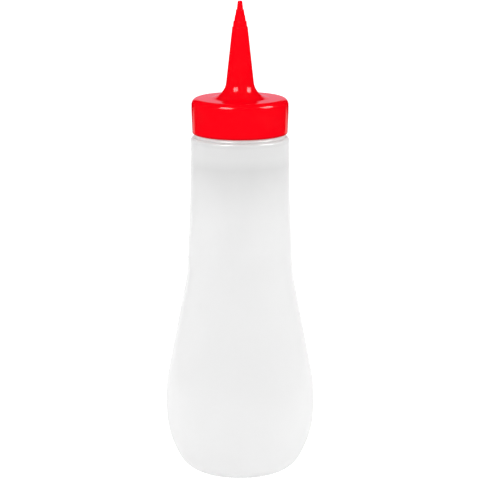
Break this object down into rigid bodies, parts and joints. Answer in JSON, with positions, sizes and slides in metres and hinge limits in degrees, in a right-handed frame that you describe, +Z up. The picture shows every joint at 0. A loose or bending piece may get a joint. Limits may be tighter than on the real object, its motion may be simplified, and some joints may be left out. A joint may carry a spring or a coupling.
{
  "type": "squeeze bottle",
  "caption": "Empty milky squeeze bottle for sauce with a bulb-shaped foot, a slim upper body and a red screw cap whose tapered nozzle ends in steps.",
  "frame": {"origin": "centre of the foot, on the surface that the bottle stands on", "axes": "+Z up along the bottle's axis, from the foot to the nozzle's tip; +X to the right in the front view"},
  "size_m": [0.087, 0.087, 0.277],
  "materials": {
    "bottle_plastic": "milky natural polyethylene, soft sheen",
    "cap_plastic": "glossy red moulded plastic"
  },
  "bodies": {
    "root": {"bottle": "bottle_plastic", "cap": "cap_plastic"}
  },
  "joints": []
}
